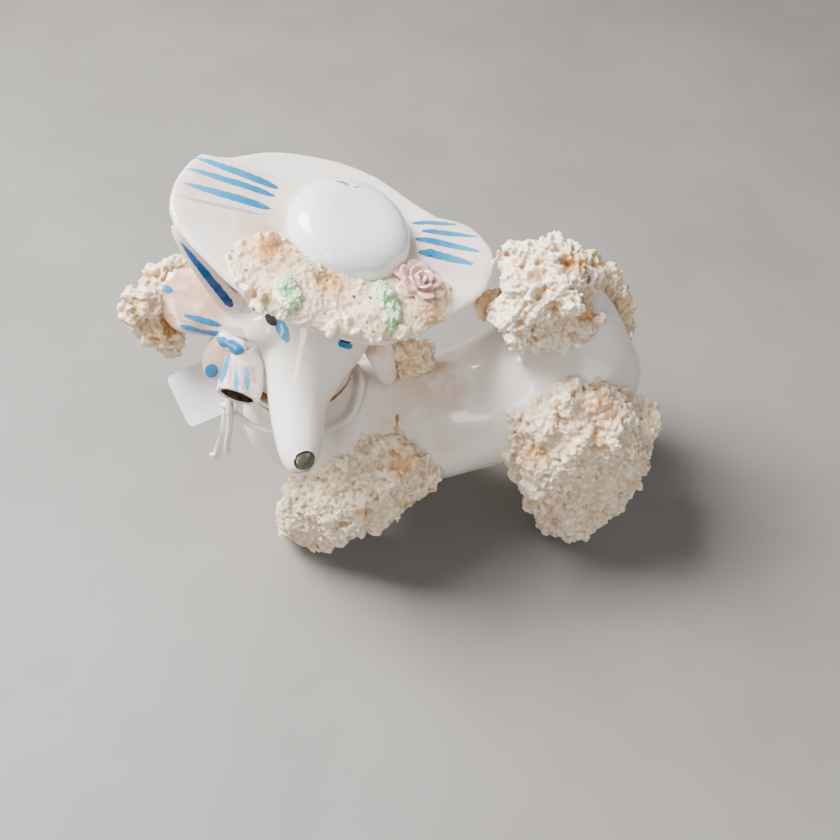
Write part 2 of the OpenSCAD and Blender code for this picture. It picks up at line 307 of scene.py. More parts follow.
def tied_knot(name, middle, size, radius):
    shape = tube(trefoil(middle, size), radius * MM, 14, lobes=3, lobe_depth=0.08, turns=LAY, closed=True)
    return new_piece(name, *shape)


def make_string():
    """The string, its two knots and its frayed end."""
    line = smooth_line([at(*p) for p in STRING_ROUTE], 8)
    string = new_piece("cotton_string", *laid(line, STRING_D / 2 * 0.97))
    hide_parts("tag_string")
    knot = tied_knot("cotton_knot", KNOT_AT, 0.52, 0.6)
    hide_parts("string_knot")
    end = tied_knot("cotton_end_knot", END_KNOT_AT, 0.33, 0.5)
    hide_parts("string_end_knot")
    fray = make_fray()
    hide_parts("string_frayed_end")
    return [string, knot, end, fray]


def make_fray():
    """The untwisted fibres that flare out of the string's cut end."""
    rng = np.random.default_rng(5)
    start = at(*FRAY_AT) + Vector((0.4, 0, 1.4)) * MM
    vertices = []
    faces = []
    for _ in range(46):
        angle = rng.uniform(0, 2 * math.pi)
        spread = rng.uniform(0.1, 1.0)
        out = Vector((math.cos(angle), math.sin(angle), 0)) * spread
        length = rng.uniform(1.9, 3.0)
        line = [
            start + (out * (0.45 + 0.9 * t * t) + Vector((-0.25 * t, 0, -1)) * length * t) * MM
            for t in (0, 0.25, 0.5, 0.75, 1.0)
        ]
        v, f = tube(line, rng.uniform(0.07, 0.11) * MM, 5)
        faces += [tuple(i + len(vertices) for i in face) for face in f]
        vertices += v
    return new_piece("cotton_fray", vertices, faces)


string_pieces = make_string()


# ===== Painted marks =====
# Each is stored as the depth inside the nearest stroke, in millimetres.
def stroke_depth(co, start, end, width, belly, brush):
    """Depth inside one tapered stroke and the share of the way along it, seen along the brush."""
    a = np.array(start)
    along = np.array(end) - a
    along = along - brush * (along @ brush)
    flat = co - a
    flat = flat - np.outer(flat @ brush, brush)
    t = np.clip(flat @ along / (along @ along), 0, 1)
    off = np.linalg.norm(flat - np.outer(t, along), axis=1) / MM
    reach = np.where(t < belly, (t - belly) / belly, (t - belly) / (1 - belly))
    return width / 2 * np.sqrt(np.clip(1 - reach ** 2, 0, 1)) - off, t


def paint(piece, layer, strokes, brush):
    """Strokes are (start, end, width, belly, strength at the start, strength at the end)."""
    co = places(piece)
    brush = np.array(brush) / np.linalg.norm(brush)
    depth = np.full(len(co), -3.0)
    strength = np.zeros(len(co))
    for start, end, width, belly, first, last in strokes:
        inside, t = stroke_depth(co, start, end, width, belly, brush)
        nearer = inside > depth
        depth = np.where(nearer, inside, depth)
        strength = np.where(nearer, first + (last - first) * t, strength)
    seen = normals(piece) @ brush > 0.0
    store(piece, layer, np.where(seen, depth, -3.0))
    store(piece, layer + "_strength", strength)


# ===== Materials =====
def linear(code):
    """A colour written as rrggbb, in linear light."""
    parts = [int(code[i:i + 2], 16) / 255 for i in (0, 2, 4)]
    return [c / 12.92 if c <= 0.04045 else ((c + 0.055) / 1.055) ** 2.4 for c in parts] + [1.0]


class Finish:
    """A material under construction."""

    def __init__(self, name):
        self.material = bpy.data.materials.new(name)
        self.material.use_nodes = True
        self.tree = self.material.node_tree
        self.shader = self.tree.nodes["Principled BSDF"]
        self.where = self.tree.nodes.new("ShaderNodeTexCoord").outputs["Object"]

    def set(self, **sockets):
        for name, value in sockets.items():
            self.shader.inputs[name.replace("_", " ").title()].default_value = value

    def link(self, output, socket):
        self.tree.links.new(output, socket)

    def put(self, value, socket):
        """Gives a socket either a plain value or another node's output."""
        if isinstance(value, bpy.types.NodeSocket):
            self.link(value, socket)
        else:
            socket.default_value = value

    def noise(self, size, detail=3.0, rough=0.55, warp=0.0):
        """Cloudy noise whose largest features are about size millimetres."""
        texture = self.tree.nodes.new("ShaderNodeTexNoise")
        self.link(self.where, texture.inputs["Vector"])
        texture.inputs["Scale"].default_value = 1 / (size * MM)
        texture.inputs["Detail"].default_value = detail
        texture.inputs["Roughness"].default_value = rough
        texture.inputs["Distortion"].default_value = warp
        return texture.outputs["Fac"]

    def cells(self, size):
        """Distance to the nearest of many scattered points about size millimetres apart."""
        texture = self.tree.nodes.new("ShaderNodeTexVoronoi")
        self.link(self.where, texture.inputs["Vector"])
        texture.inputs["Scale"].default_value = 1 / (size * MM)
        return texture.outputs["Distance"]

    def stored(self, name):
        """A value that store() wrote on the piece's vertices."""
        attribute = self.tree.nodes.new("ShaderNodeAttribute")
        attribute.attribute_name = name
        return attribute.outputs["Fac"]

    def fit(self, value, low, high, to_low=0.0, to_high=1.0, smooth=True):
        """Maps the range from low to high onto another, and holds it past the ends."""
        node = self.tree.nodes.new("ShaderNodeMapRange")
        node.interpolation_type = "SMOOTHSTEP" if smooth else "LINEAR"
        self.put(value, node.inputs["Value"])
        for name, setting in (("From Min", low), ("From Max", high), ("To Min", to_low), ("To Max", to_high)):
            node.inputs[name].default_value = setting
        return node.outputs["Result"]

    def math(self, operation, a, b=0.0):
        node = self.tree.nodes.new("ShaderNodeMath")
        node.operation = operation
        self.put(a, node.inputs[0])
        self.put(b, node.inputs[1])
        return node.outputs["Value"]

    def mix(self, factor, a, b):
        """Colour a where the factor is 0 and b where it is 1."""
        node = self.tree.nodes.new("ShaderNodeMix")
        node.data_type = "RGBA"
        self.put(factor, node.inputs["Factor"])
        self.put(a, node.inputs[6])
        self.put(b, node.inputs[7])
        return node.outputs[2]

    def near(self, place, reach):
        """1 at a place, fading to 0 at reach millimetres from it."""
        node = self.tree.nodes.new("ShaderNodeVectorMath")
        node.operation = "DISTANCE"
        self.link(self.where, node.inputs[0])
        node.inputs[1].default_value = place
        return self.fit(node.outputs["Value"], 0.0, reach * MM, 1.0, 0.0)

    def bump(self, height, distance, strength, under=None):
        """Relief that is distance millimetres deep, on top of the relief under it."""
        node = self.tree.nodes.new("ShaderNodeBump")
        node.inputs["Distance"].default_value = distance * MM
        node.inputs["Strength"].default_value = strength
        self.link(height, node.inputs["Height"])
        if under is not None:
            self.link(under, node.inputs["Normal"])
        return node.outputs["Normal"]

    def colour(self, output):
        self.link(output, self.shader.inputs["Base Color"])

    def normal(self, output):
        self.link(output, self.shader.inputs["Normal"])


def porcelain(name, base, shade, paints=(), stains_and_shade=(), gloss=0.13, wave=0.05):
    """Glazed porcelain.

    paints are (layer, pale colour, deep colour), and each layer is one that paint() stored.
    stains_and_shade are (place, reach in millimetres, colour) patches: mostly real stains, some of them
    painted shade.
    """
    finish = Finish(name)
    cloud = finish.fit(finish.noise(14, 4), 0.35, 0.7)
    colour = finish.mix(cloud, linear(base), linear(shade))
    # Each patch is either a real stain or painted shade, blended in with cloudy edges.
    for place, reach, tint in stains_and_shade:
        cloudy = finish.fit(finish.noise(7, 5, 0.65), 0.3, 0.62)
        patchy = finish.math("MULTIPLY", finish.near(place, reach), cloudy)
        colour = finish.mix(patchy, colour, linear(tint))
    speck = finish.fit(finish.cells(5.5), 0.0, 0.035, 0.55, 0.0)
    colour = finish.mix(speck, colour, linear("8a6a4c"))
    for layer, pale, deep in paints:
        ragged = finish.fit(finish.noise(1.1, 3, 0.6), 0.2, 0.8, -0.14, 0.14, smooth=False)
        edge = finish.fit(finish.math("ADD", finish.stored(layer), ragged), -0.05, 0.16)
        strength = finish.stored(layer + "_strength")
        laid_on = finish.fit(strength, 0.0, 0.6, smooth=False)
        cover = finish.math("MULTIPLY", edge, laid_on)
        pool = finish.fit(finish.noise(2.2, 2), 0.35, 0.65, 0.95, 1.0)
        cover = finish.math("MULTIPLY", cover, pool)
        tone = finish.mix(finish.fit(strength, 0.45, 1.0), linear(pale), linear(deep))
        colour = finish.mix(cover, colour, tone)
    finish.colour(colour)
    finish.set(coat_weight=0.5, coat_roughness=0.04, subsurface_weight=0.06)
    finish.shader.inputs["Subsurface Scale"].default_value = 1.2 * MM
    dullness = finish.fit(finish.noise(9, 3), 0.3, 0.7, gloss, gloss + 0.12)
    finish.link(dullness, finish.shader.inputs["Roughness"])
    soft = finish.bump(finish.noise(6, 2), wave, 0.6)
    finish.normal(finish.bump(finish.noise(0.6, 2), 0.012, 0.35, soft))
    return finish.material


def clay_fur(name, crest_highlight="f1e3cd", body="dfc6a5", hollow_stain_and_shade="a87b4c", patches=(), blot="bd8a45", tan=0.65,
             pinhole=0.11):
    """Crumbly glazed clay with iron blots and pinholes: pale on its crests as a painted highlight, and tan in
    its hollows from stain and painted shade.
    """
    finish = Finish(name)
    relief = finish.stored("relief")
    # Hollows go tan, partly real stain and partly painted shade; crests go pale as a painted highlight.
    hollow = finish.mix(finish.fit(finish.noise(5, 4), 0.4, 0.62), linear(body), linear(hollow_stain_and_shade))
    colour = finish.mix(finish.fit(relief, -0.5, -0.05), hollow, linear(body))
    colour = finish.mix(finish.fit(relief, -0.05, 0.35), colour, linear(crest_highlight))
    for place, reach, tint in patches:
        cloudy = finish.fit(finish.noise(3.5, 4, 0.6), 0.25, 0.55)
        patchy = finish.math("MULTIPLY", finish.near(place, reach), cloudy)
        colour = finish.mix(patchy, colour, linear(tint))
    iron = finish.fit(finish.noise(7.5, 5, 0.62, 0.4), 0.52, 0.7, 0.0, tan)
    colour = finish.mix(iron, colour, linear(blot))
    pin = finish.fit(finish.cells(2.4), 0.4 * pinhole, pinhole, 0.9, 0.0)
    pin = finish.math("MULTIPLY", pin, finish.fit(finish.noise(4.5, 2), 0.46, 0.54))
    colour = finish.mix(pin, colour, linear("4a2c18"))
    finish.colour(colour)
    finish.set(roughness=0.36, coat_weight=0.22, coat_roughness=0.12, subsurface_weight=0.1)
    finish.shader.inputs["Subsurface Scale"].default_value = 1.0 * MM
    grain = finish.bump(finish.noise(0.7, 4, 0.7), 0.22, 0.7)
    pits = finish.bump(finish.fit(finish.cells(1.3), 0.0, 0.28), 0.18, 0.5, grain)
    finish.normal(pits)
    return finish.material


def card_stock():
    finish = Finish("card_stock")
    fibre = finish.noise(0.35, 4, 0.7)
    colour = finish.mix(finish.fit(finish.noise(6, 3), 0.3, 0.7), linear("f4f3f6"), linear("ebeaef"))
    colour = finish.mix(finish.fit(fibre, 0.4, 0.7, 0.0, 0.2), colour, linear("d5d2d4"))
    finish.colour(colour)
    finish.set(roughness=0.82)
    finish.normal(finish.bump(fibre, 0.03, 0.6))
    return finish.material


def cotton():
    finish = Finish("cotton")
    fibre = finish.noise(0.3, 5, 0.75, 1.5)
    colour = finish.mix(finish.fit(finish.noise(4, 2), 0.35, 0.65), linear("fbf9f3"), linear("efeae0"))
    colour = finish.mix(finish.fit(fibre, 0.32, 0.55, 0.4, 0.0), colour, linear("b5ab9c"))
    finish.colour(colour)
    finish.set(roughness=0.9, sheen_weight=0.3)
    finish.normal(finish.bump(fibre, 0.12, 0.8))
    return finish.material


def dress(piece, material):
    piece.data.materials.clear()
    piece.data.materials.append(material)


cotton_finish = cotton()
for part in string_pieces:
    dress(part, cotton_finish)


# ===== Glazed body and head =====
BODY_NODES = [
    "torso", "neck", "tail",
    "front_left_leg", "front_right_leg", "rear_left_leg", "rear_right_leg",
]


def make_body():
    """The trunk, neck, tail and legs, which are one glazed casting."""
    body = glazed_skin("glazed_body", BODY_NODES, voxel=0.6, rounds=14)
    ripple(body, 11, 0.35, 3)
    keep_above_ground(body, 0.0)
    paint(body, "gleam", [
        (at(-18.4, -7.8, 48.0), at(-18.7, -11.0, 45.8), 0.9, 0.3, 0.9, 0.6),
        (at(-19.6, -10.6, 46.2), at(-18.4, -11.4, 45.4), 1.3, 0.4, 0.4, 0.3),
    ], OUTWARD)
    material = porcelain("body_glaze", "efe8e1", "e3dad0", gloss=0.22,
                         paints=[("gleam", "b8742c", "6f7a30")],
                         stains_and_shade=[
                             (at(-8, -1, 50.5), 15, "d6b096"),
                             (at(-20, -10, 46), 8, "dec3a8"),
                             (at(-9, -15, 40), 9, "e4cdb8"),
                             (at(-34, -14, 45), 12, "e6d2c0"),
                             (at(22, 0, 68), 9, "e9dccf"),
                         ])
    dress(body, material)


NOSE = (-38.8, -28.7, 60.3)
NOSE_R = 2.1
EYE_RIGHT = ((-43.6, -5.5, 79.2), (-41.8, -7.6, 77.9))
EYE_LEFT = ((-29.9, -10.7, 75.6), (-27.2, -10.1, 74.2))
MUZZLE_UP = np.array((-0.1, -0.5, 0.86))


def make_head():
    """The head, with its domed nose, painted eyes and mouth."""
    head = glazed_skin("glazed_head", ["head"], voxel=0.4, rounds=40)
    co = places(head)
    nose = np.array(at(*NOSE))
    off = np.linalg.norm((co - nose) / MM / np.array((1.15, 1.0, 1.0)), axis=1)
    dome = 0.7 * MM * np.clip(NOSE_R + 0.3 - off, 0, 0.5)
    set_places(head, co + normals(head) * dome[:, None])
    paint(head, "black", [
        (at(*EYE_RIGHT[0]), at(*EYE_RIGHT[1]), 2.0, 0.55, 1.0, 1.0),
        (at(*EYE_LEFT[0]), at(*EYE_LEFT[1]), 1.2, 0.5, 1.0, 0.9),
    ], MUZZLE_UP)
    paint(head, "blue", [
        (at(-41.4, -6.8, 78.6), at(-39.8, -10.6, 76.0), 2.4, 0.4, 0.8, 0.6),
        (at(-30.2, -11.0, 74.7), at(-27.2, -10.7, 73.5), 1.5, 0.5, 1.0, 0.9),
    ], MUZZLE_UP)
    store(head, "nose", NOSE_R - off)
    store(head, "nose_strength", np.ones(len(co)))
    store(head, "nose_rim", 0.3 - np.abs(off - NOSE_R + 0.05))
    store(head, "nose_rim_strength", np.full(len(co), 0.85))
    paint(head, "mouth", [
        (at(-42.2, -30.4, 57.3), at(-37.8, -30.6, 57.5), 1.0, 0.5, 1.0, 1.0),
    ], (0, -1, 0.1))
    material = porcelain("head_glaze", "f3ede6", "ebe2d8",
                         paints=[
                             ("blue", "46a4d0", "0f72a4"),
                             ("black", "1a1a1c", "0a0a0b"),
                             ("nose", "5d5c4c", "55523f"),
                             ("nose_rim", "1e1d19", "1e1d19"),
                             ("mouth", "c4532a", "b8401f"),
                         ],
                         stains_and_shade=[(at(-36, -9, 78), 7, "ead2c4"), (at(-46, -4, 74), 7, "ecd0c4")])
    dress(head, material)


# ===== Clay fur =====
def surface_samples(piece, rng, density):
    """Random places on a mesh, evenly by area, with the surface's direction there."""
    mesh = piece.data
    mesh.calc_loop_triangles()
    corners = np.array([t.vertices for t in mesh.loop_triangles])
    co = places(piece)
    a, b, c = (co[corners[:, k]] for k in range(3))
    cross = np.cross(b - a, c - a)
    area = np.linalg.norm(cross, axis=1)
    total = area.sum() / 2 / MM ** 2
    count = int(total * density)
    chosen = rng.choice(len(area), count, p=area / area.sum())
    s = np.sqrt(rng.random(count))[:, None]
    t = rng.random(count)[:, None]
    spots = a[chosen] * (1 - s) + b[chosen] * s * (1 - t) + c[chosen] * s * t
    return spots, cross[chosen] / area[chosen][:, None]


def ball():
    work = bmesh.new()
    bmesh.ops.create_icosphere(work, subdivisions=2, radius=1.0)
    vertices = np.array([v.co for v in work.verts])
    faces = [tuple(v.index for v in f.verts) for f in work.faces]
    work.free()
    return vertices, faces


def random_frame(rng, out):
    """Three axes at right angles, the last along out."""
    side = np.cross(out, rng.normal(size=3))
    side /= np.linalg.norm(side)
    return side, np.cross(out, side), out


def lump(template, rng, spot, out, size):
    """A squashed, uneven crumb of clay sitting on the surface."""
    across, other, up = random_frame(rng, out)
    scale = size * rng.uniform(0.65, 1.25, 3)
    uneven = 1 + 0.18 * np.sin(template @ rng.normal(size=3) * 3 + rng.uniform(0, 6))
    local = template * uneven[:, None] * scale
    return spot + local @ np.array((across, other, up)) * MM


def strand_line(rng, spot, out, length):
    """The line of a short curled strand that lies on the surface, one end lifting."""
    across, other, up = random_frame(rng, out)
    bend = rng.uniform(-0.5, 0.5)
    lift = rng.uniform(0.05, 0.5)
    line = []
    for t in np.linspace(-0.5, 0.5, 7):
        s = t * length
        line.append(Vector(spot + (across * s + other * bend * s * s + up * lift * max(s, 0)) * MM))
    return line


def clump(piece, size, seed, gather):
    """Gathers a form into uneven clumps before the crumbs are strewn on it."""
    ripple(piece, 6.5 * size, 2.2 * size * gather, seed)
    ripple(piece, 2.8 * size, 1.1 * size * gather, seed + 5)


def crease(piece, size, seed, fold):
    """Folds small creases between crumbs and roughens their faces."""
    co = places(piece)
    out = normals(piece)
    drift = Vector((seed, 0.5 * seed, 0))
    depth = np.array([
        -abs(noise.noise(Vector(p) / (1.5 * size * MM) + drift)) * 0.95
        + noise.noise(Vector(p) / (0.62 * size * MM) - drift) * 0.3
        for p in co
    ])
    set_places(piece, co + out * ((depth + 0.2) * size * fold * MM)[:, None])


def clay(name, nodes, seed, size=1.0, lumps=0.52, strands=0.05, sink=0.7, voxel=0.34, gather=1.0, fold=1.0,
         bury=0.35, spread=0.0, melt=1, heel=0.0):
    """Clay fur over CAD pieces: crumbs and short squeezed strands strewn over a core and fused.

    size is a typical crumb's radius in millimetres, and the other measures scale with it.
    lumps and strands say how densely they are strewn, sink how far the core draws in under them,
    bury how deep they sit, and melt how often the fused skin is softened. gather and fold deepen
    the clumps and the creases, spread widens the form along the brim, and heel fills a cuff's rear.
    """
    rng = np.random.default_rng(seed)
    vertices, faces = cad_mesh(nodes)
    core = new_piece(name, vertices, faces)
    welded(core)
    fuse(core, 0.9 * size + 0.1, 2)
    clump(core, size, seed, gather)
    sideways = normals(core) - np.outer(normals(core) @ HAT_UP, HAT_UP)
    set_places(core, places(core) + sideways * spread * MM)
    fill_heel(core, heel)
    spots, outs = surface_samples(core, rng, lumps / size ** 2)
    strand_spots, strand_outs = surface_samples(core, rng, strands / size ** 2)
    set_places(core, places(core) - normals(core) * sink * size * MM)
    parts = [places(core)]
    polygons = [tuple(p.vertices) for p in core.data.polygons]
    start = len(parts[0])
    bpy.data.objects.remove(core)
    template, template_faces = ball()
    for spot, out in zip(spots, outs):
        reach = size * rng.choice((0.5, 0.8, 1.2, 1.7), p=(0.35, 0.35, 0.22, 0.08))
        depth = reach * rng.uniform(bury, 1.05) * MM
        parts.append(lump(template, rng, spot - out * depth, out, reach))
        polygons += [tuple(i + start for i in f) for f in template_faces]
        start += len(template)
    for spot, out in zip(strand_spots, strand_outs):
        start_at = spot - out * rng.uniform(0.0, 0.4) * size * MM
        line = strand_line(rng, start_at, out, rng.uniform(1.8, 3.2) * size)
        v, f = tube(line, rng.uniform(0.36, 0.55) * size * MM, 7)
        parts.append(np.array(v))
        polygons += [tuple(i + start for i in face) for face in f]
        start += len(v)
    fur = new_piece(name, np.concatenate(parts), polygons)
    fuse(fur, voxel, melt)
    crease(fur, size, seed, fold)
    keep_above_ground(fur)
    store_relief(fur)
    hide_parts(*nodes)
    return fur


HEEL_FILL = 3.5
HEEL_HEIGHT = 24.0


def fill_heel(piece, amount):
    """Fills out the rear of a cuff's lower part by an amount in millimetres."""
    co = places(piece)
    low = step_up(-co[:, 2] / MM, -HEEL_HEIGHT, 14)
    co[:, 0] += np.clip(normals(piece)[:, 0], 0, 1) * low * amount * MM
    set_places(piece, co)


def keep_above_ground(piece, gap=0.25):
    """Flattens whatever hangs lower than a gap in millimetres over the ground."""
    co = places(piece)
    co[:, 2] = np.maximum(co[:, 2], gap * MM)
    set_places(piece, co)


def make_fur():
    plain = clay_fur("fur_cream", patches=[
        (at(24.2, -19.4, 56.5), 6, "cb8a42"),
        (at(10, -22, 45), 6, "d2a468"),
        (at(-18, -18, 42), 7, "d2a468"),
        (at(-42, -12, 10), 8, "d4a870"),
    ])
    warm = clay_fur("fur_warm", crest_highlight="eedabb", body="dcbd91", hollow_stain_and_shade="a06f3c", tan=0.8)
    bright = clay_fur("fur_bright", crest_highlight="f6ecda", body="e6d0b0", hollow_stain_and_shade="b4854f", tan=0.7,
                      patches=[(at(19, -4.6, 84.7), 6, "cf9448"), (at(21, -8, 74), 6, "d8a868")])
    for name, seed, heel in (("front_left_cuff", 11, 0.0), ("rear_left_cuff", 12, HEEL_FILL)):
        dress(clay(name + "_fur", [name], seed, size=0.88, sink=0.6, heel=heel), plain)
    for name, seed, heel in (("front_right_cuff", 13, 0.0), ("rear_right_cuff", 14, HEEL_FILL)):
        dress(clay(name + "_fur", [name], seed, voxel=0.4, sink=0.25, heel=heel), plain)
    dress(clay("pompom_fur", ["tail_pompom"], 15, voxel=0.32, gather=1.7, fold=1.4), bright)
    dress(clay("rump_fur_crumbs", ["rump_fur"], 16, size=0.85, sink=0.6), warm)
    dress(clay("side_tuft_crumbs", ["side_tuft"], 17, size=0.8, sink=0.5), warm)
    dress(clay("right_ear_crumbs", ["right_ear_fur"], 18, size=0.9, sink=0.6), warm)
    dress(clay("left_ear_crumbs", ["left_ear_fur"], 19, size=0.85, sink=0.5), warm)


# ===== Hat =====
# Brush strokes on the brim's lobes: each end on the hat, and the width
LEFT_LOBE = [
    ((-29.4, 14.3), (-11.5, 11.1), 2.1),
    ((-31.0, 10.8), (-12.5, 8.7), 1.9),
    ((-31.4, 6.7), (-13.7, 5.0), 2.1),
]
RIGHT_LOBE = [
    ((17.0, 7.4), (28.5, 8.3), 1.2),
    ((18.8, 5.4), (32.4, 5.6), 1.5),
    ((17.2, 3.3), (32.4, 1.4), 1.9),
    ((17.5, -0.2), (30.0, -2.1), 2.3),
]
LOBE_RISE = 0.9


def raise_lobes(brim):
    """Lifts the two painted side lobes, which lie like folded-over flaps on the brim."""
    co = places(brim)
    back = np.array(HAT.inverted())
    flat = (co @ back[:3, :3].T + back[:3, 3]) / MM
    u, v = flat[:, 0], flat[:, 1]
    left = step_up(-u, 14, 14) * step_up(12.6 - 0.133 * u - v, 0, 1.2) * step_up(v, -1, 8)
    right = step_up(u, 18, 7) * step_up(9.7 - v, 0, 1.2) * step_up(v, -4, 6)
    upper = np.clip(normals(brim) @ HAT_UP * 3, 0, 1)
    set_places(brim, co + np.outer((left + right) * upper * LOBE_RISE * MM, HAT_UP))


TIE_FOOT = (-50.0, -3.4, 80.2)
TIE_TIP = (-57.0, 0.2, 93.4)
TIE_REACH = 2.4


def lengthen(piece, foot, tip, reach):
    """Draws a piece out past its tip by a reach in millimetres, so that it meets what it hangs from."""
    start = np.array(at(*foot))
    along = np.array(at(*tip)) - start
    length = np.linalg.norm(along)
    along /= length
    co = places(piece)
    share = np.clip((co - start) @ along / length, 0, 1)
    set_places(piece, co + np.outer(share ** 2 * reach * MM, along))


def make_brim():
    brim = glazed_skin("hat_brim_glaze", ["hat_brim"], voxel=0.4, rounds=8)
    raise_lobes(brim)
    blue = [(on_hat(*b), on_hat(*a), width, 0.28, 1.0, 0.5) for a, b, width in LEFT_LOBE]
    blue += [(on_hat(*a), on_hat(*b), width, 0.3, 1.0, 0.55) for a, b, width in RIGHT_LOBE]
    blue.append((on_hat(19.6, 0.6), on_hat(22.0, -1.2), 1.9, 0.5, 1.0, 1.0))
    paint(brim, "blue", blue, HAT_UP)
    paint(brim, "lilac", [(on_hat(-32.6, 3.0), on_hat(-15.5, 2.8), 1.0, 0.6, 0.5, 0.6)], HAT_UP)
    paint(brim, "dark", [(on_hat(19.7, -1.0), on_hat(20.3, -1.3), 0.7, 0.5, 1.0, 1.0)], HAT_UP)
    material = porcelain("brim_glaze", "f4eee8", "f0e3d9",
                         paints=[
                             ("blue", "22a0d2", "0072aa"),
                             ("lilac", "b3a6cf", "8796c9"),
                             ("dark", "18303f", "18303f"),
                         ],
                         stains_and_shade=[
                             (on_hat(-14, -2), 11, "e0bb96"),
                             (on_hat(12, 0), 8, "e8cbb8"),
                             (on_hat(-25, 8), 15, "f0c9bb"),
                             (on_hat(26, 3), 11, "f0cdc0"),
                         ])
    dress(brim, material)


def make_crown():
    crown = glazed_skin("hat_crown_glaze", ["hat_crown"], voxel=0.35, rounds=8)
    paint(crown, "scratch", [
        (on_hat(-1.6, 10.9, 5), on_hat(1.9, 10.0, 5), 0.75, 0.5, 0.7, 0.5),
        (on_hat(0.0, 11.0, 5), on_hat(1.2, 9.0, 5), 0.65, 0.5, 0.6, 0.4),
        (on_hat(2.0, 9.2, 5), on_hat(4.4, 10.4, 5), 0.65, 0.5, 0.6, 0.3),
    ], HAT_UP)
    material = porcelain("crown_glaze", "edf0f2", "e0e7ec",
                         paints=[("scratch", "6d6d6c", "4f4e4c")], gloss=0.1)
    dress(crown, material)


def make_tie():
    tie = glazed_skin("hat_tie_glaze", ["hat_tie"], voxel=0.22, rounds=5)
    lengthen(tie, TIE_FOOT, TIE_TIP, TIE_REACH)
    paint(tie, "blue", [
        (at(-57.6, 0.4, 94.4), at(*TIE_FOOT), 1.8, 0.9, 0.6, 1.0),
    ], OUTWARD)
    # A pinkish-brown stroke is painted shadow, where the brim's edge overhangs the tie.
    paint(tie, "brim_shadow", [
        (at(-53.6, 1.0, 90.6), at(-48.6, -1.2, 81.6), 1.3, 0.6, 0.6, 0.8),
    ], OUTWARD)
    material = porcelain("tie_glaze", "efe3dd", "e3c4b4",
                         paints=[("brim_shadow", "b98a74", "9a6650"), ("blue", "1c6ca4", "003c7c")])
    dress(tie, material)


# Mint stains on the flower bed: place on the hat, and reach
MINT = [
    (-7.2, -8.1, 4.0),
    (-13.6, -18.1, 4.5),
    (8.1, -14.9, 4.5),
    (7.9, -20.9, 4.0),
    (7.0, -11.4, 3.5),
]


def make_flowers():
    bed = clay("flower_bed_crumbs", ["flower_bed"], 21, size=0.9, lumps=0.2, strands=0.02, sink=0.15,
               voxel=0.27, gather=0.5, fold=0.5, bury=0.9, spread=0.8, melt=3)
    patches = [(on_hat(u, v, 2), reach, "86c48c") for u, v, reach in MINT]
    patches += [
        (on_hat(-15, -6, 2), 9, "c98a4c"),
        (on_hat(-4, -12, 2), 6, "cf9a64"),
        (on_hat(18, -17, 2), 5, "d3a068"),
    ]
    material = clay_fur("flower_bed", crest_highlight="faead8", body="f2d5b6", hollow_stain_and_shade="c88e58",
                        patches=patches, tan=0.6, pinhole=0.24)
    dress(bed, material)
    mint = clay_fur("mint_clay", crest_highlight="d6e3c4", body="9fcf98", hollow_stain_and_shade="6aa564", blot="ecdcc4", tan=0.95)
    for name, seed in (("leaf_spray_right", 22), ("leaf_spray_left", 23)):
        spray = clay(name + "_crumbs", [name], seed, size=0.6, lumps=0.4, sink=0.1, voxel=0.25,
                     bury=0.7, melt=3)
        dress(spray, mint)


PETAL_STEPS = 8


def petal_sheet(length, width, cup, flare):
    """A rounded, cupped petal that starts at the origin and rises."""
    vertices = []
    for i in range(PETAL_STEPS + 1):
        up = i / PETAL_STEPS
        half = width / 2 * math.sin(math.pi * (0.2 + 0.62 * up)) ** 0.8
        for k in range(PETAL_STEPS + 1):
            across = 2 * k / PETAL_STEPS - 1
            lift = length * up * (1 - 0.18 * across * across * up)
            out = flare * up ** 2.2 - cup * across * across * math.sin(math.pi * min(up + 0.15, 1))
            vertices.append(Vector((half * across, out, lift)))
    row = PETAL_STEPS + 1
    faces = [
        (i * row + k, i * row + k + 1, (i + 1) * row + k + 1, (i + 1) * row + k)
        for i in range(PETAL_STEPS)
        for k in range(PETAL_STEPS)
    ]
    return vertices, faces


ROSE_AT = (15.2, -10.2, 2.2)
PETAL_RINGS = [
    # petals, start radius, length, width, cup, flare, lean in degrees
    (3, 0.5, 3.4, 2.6, 0.7, 0.2, 4),
    (4, 1.2, 3.4, 3.4, 0.8, 0.9, 14),
    (5, 1.9, 3.3, 3.9, 0.8, 1.5, 30),
    (6, 2.4, 3.2, 4.2, 0.7, 1.7, 52),
]


